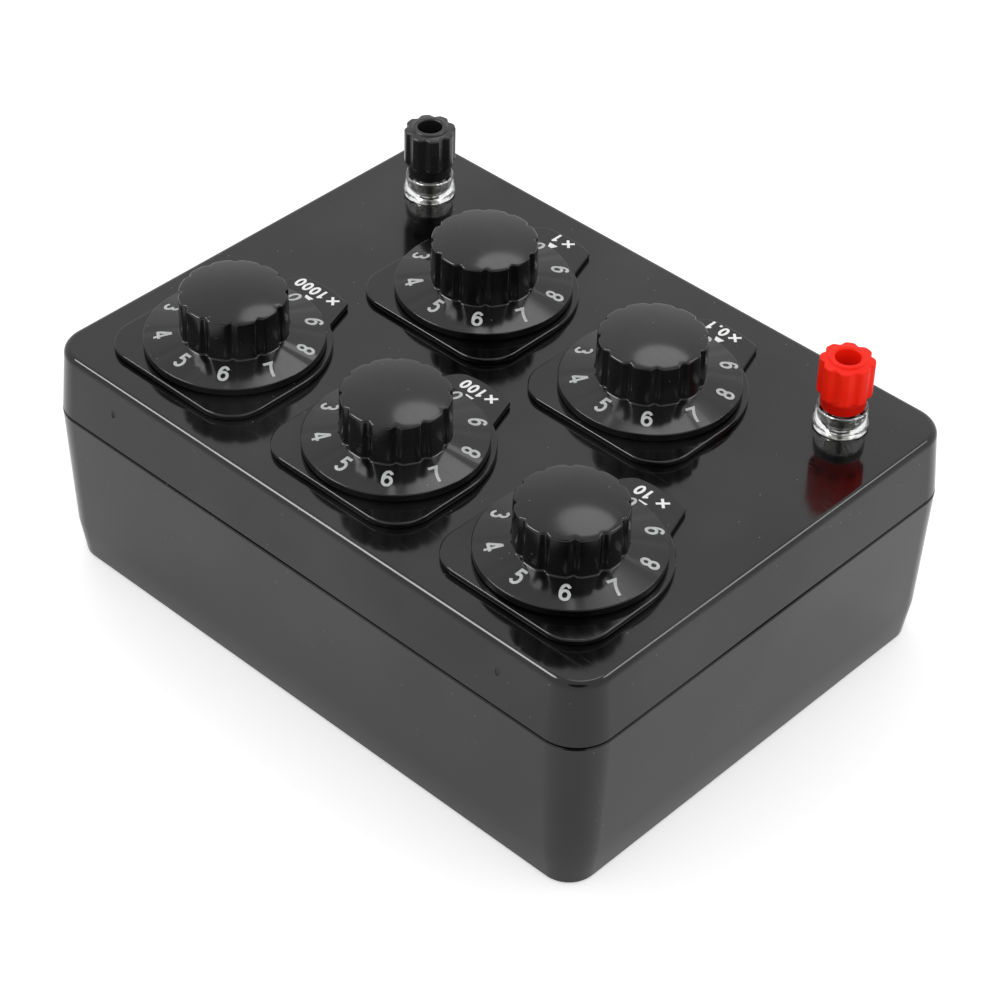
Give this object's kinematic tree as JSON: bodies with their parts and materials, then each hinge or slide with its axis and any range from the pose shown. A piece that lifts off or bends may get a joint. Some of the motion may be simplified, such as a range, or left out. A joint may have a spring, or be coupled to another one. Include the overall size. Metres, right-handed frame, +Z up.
{
  "type": "decade resistance box",
  "caption": "Black moulded bench box with numbered switch dials in two rows and two screw-down binding posts for setting a resistance.",
  "frame": {"origin": "centre of the case's underside, on the surface that the box stands on", "axes": "+X to the operator's right along the case's length, +Y away from the operator, +Z up out of the deck"},
  "size_m": [0.1828, 0.1378, 0.0865],
  "materials": {
    "case_plastic": "glossy black moulded plastic",
    "knob_plastic": "glossy black moulding with light figures",
    "plate_plastic": "glossy black plate with a white mark and multiplier",
    "red_plastic": "semi-gloss red moulding",
    "black_cap_plastic": "semi-gloss black moulding",
    "clear_plastic": "clear moulded plastic",
    "nickel": "bright nickel plate",
    "brass": "bare turned brass",
    "screw_steel": "zinc-plated steel",
    "board_phenolic": "brown laminate with riveted contacts",
    "winding": "varnished resistance wire on spools",
    "lead_red": "insulated wire",
    "lead_black": "insulated wire",
    "lead_grey": "insulated wire"
  },
  "bodies": {
    "case": {"top_cover": "case_plastic", "base_case": "case_plastic", "case_screw_1": "screw_steel", "case_screw_2": "screw_steel", "case_screw_3": "screw_steel", "case_screw_4": "screw_steel", "index_plate_x0_1": "plate_plastic", "index_plate_x1": "plate_plastic", "index_plate_x10": "plate_plastic", "index_plate_x100": "plate_plastic", "index_plate_x1000": "plate_plastic", "bush_nut_x0_1": "nickel", "bush_nut_x1": "nickel", "bush_nut_x10": "nickel", "bush_nut_x100": "nickel", "bush_nut_x1000": "nickel", "stud_board_x0_1": "board_phenolic", "stud_board_x1": "board_phenolic", "stud_board_x10": "board_phenolic", "stud_board_x100": "board_phenolic", "stud_board_x1000": "board_phenolic", "resistor_bank_x0_1": "winding", "resistor_bank_x1": "winding", "resistor_bank_x10": "winding", "resistor_bank_x100": "winding", "resistor_bank_x1000": "winding", "post_collar_red": "clear_plastic", "post_collar_black": "clear_plastic", "post_stud_red": "nickel", "post_stud_black": "nickel", "post_nut_red": "nickel", "post_nut_black": "nickel", "post_lead_red": "lead_red", "post_lead_black": "lead_black", "link_wire_1": "lead_grey", "link_wire_2": "lead_grey", "link_wire_3": "lead_grey", "link_wire_4": "lead_grey"},
    "dial_x0_1": {"knob_x0_1": "knob_plastic", "spindle_x0_1": "nickel", "wiper_x0_1": "brass"},
    "dial_x1": {"knob_x1": "knob_plastic", "spindle_x1": "nickel", "wiper_x1": "brass"},
    "dial_x10": {"knob_x10": "knob_plastic", "spindle_x10": "nickel", "wiper_x10": "brass"},
    "dial_x100": {"knob_x100": "knob_plastic", "spindle_x100": "nickel", "wiper_x100": "brass"},
    "dial_x1000": {"knob_x1000": "knob_plastic", "spindle_x1000": "nickel", "wiper_x1000": "brass"},
    "insert_red": {"post_insert_red": "brass"},
    "insert_black": {"post_insert_black": "brass"},
    "cap_red": {"post_cap_red": "red_plastic"},
    "cap_black": {"post_cap_black": "black_cap_plastic"}
  },
  "joints": [
    {"name": "dial_x0_1_turn", "type": "hinge", "parent": "case", "child": "dial_x0_1", "pos_m": [-0.0283, -0.0253, 0.0658], "axis": [0, 0, -1], "range_deg": [0, 324]},
    {"name": "dial_x1_turn", "type": "hinge", "parent": "case", "child": "dial_x1", "pos_m": [0.0283, -0.0253, 0.0658], "axis": [0, 0, -1], "range_deg": [0, 324]},
    {"name": "dial_x10_turn", "type": "hinge", "parent": "case", "child": "dial_x10", "pos_m": [-0.0566, 0.0347, 0.0658], "axis": [0, 0, -1], "range_deg": [0, 324]},
    {"name": "dial_x100_turn", "type": "hinge", "parent": "case", "child": "dial_x100", "pos_m": [0, 0.0347, 0.0658], "axis": [0, 0, -1], "range_deg": [0, 324]},
    {"name": "dial_x1000_turn", "type": "hinge", "parent": "case", "child": "dial_x1000", "pos_m": [0.0566, 0.0347, 0.0658], "axis": [0, 0, -1], "range_deg": [0, 324]},
    {"name": "post_red_rise", "type": "slide", "parent": "case", "child": "insert_red", "axis": [0, 0, 1], "range_m": [0, 0.0042]},
    {"name": "post_red_unscrew", "type": "hinge", "parent": "insert_red", "child": "cap_red", "pos_m": [-0.0701, -0.0481, 0.0658], "axis": [0, 0, 1], "range_deg": [0, 2160]},
    {"name": "post_black_rise", "type": "slide", "parent": "case", "child": "insert_black", "axis": [0, 0, 1], "range_m": [0, 0.0042]},
    {"name": "post_black_unscrew", "type": "hinge", "parent": "insert_black", "child": "cap_black", "pos_m": [0.0701, -0.0481, 0.0658], "axis": [0, 0, 1], "range_deg": [0, 2160]}
  ],
  "couplings": [
    {"joint": "post_red_unscrew", "follows": "post_red_rise", "rad_per_m": 8975.9},
    {"joint": "post_black_unscrew", "follows": "post_black_rise", "rad_per_m": 8975.9}
  ]
}
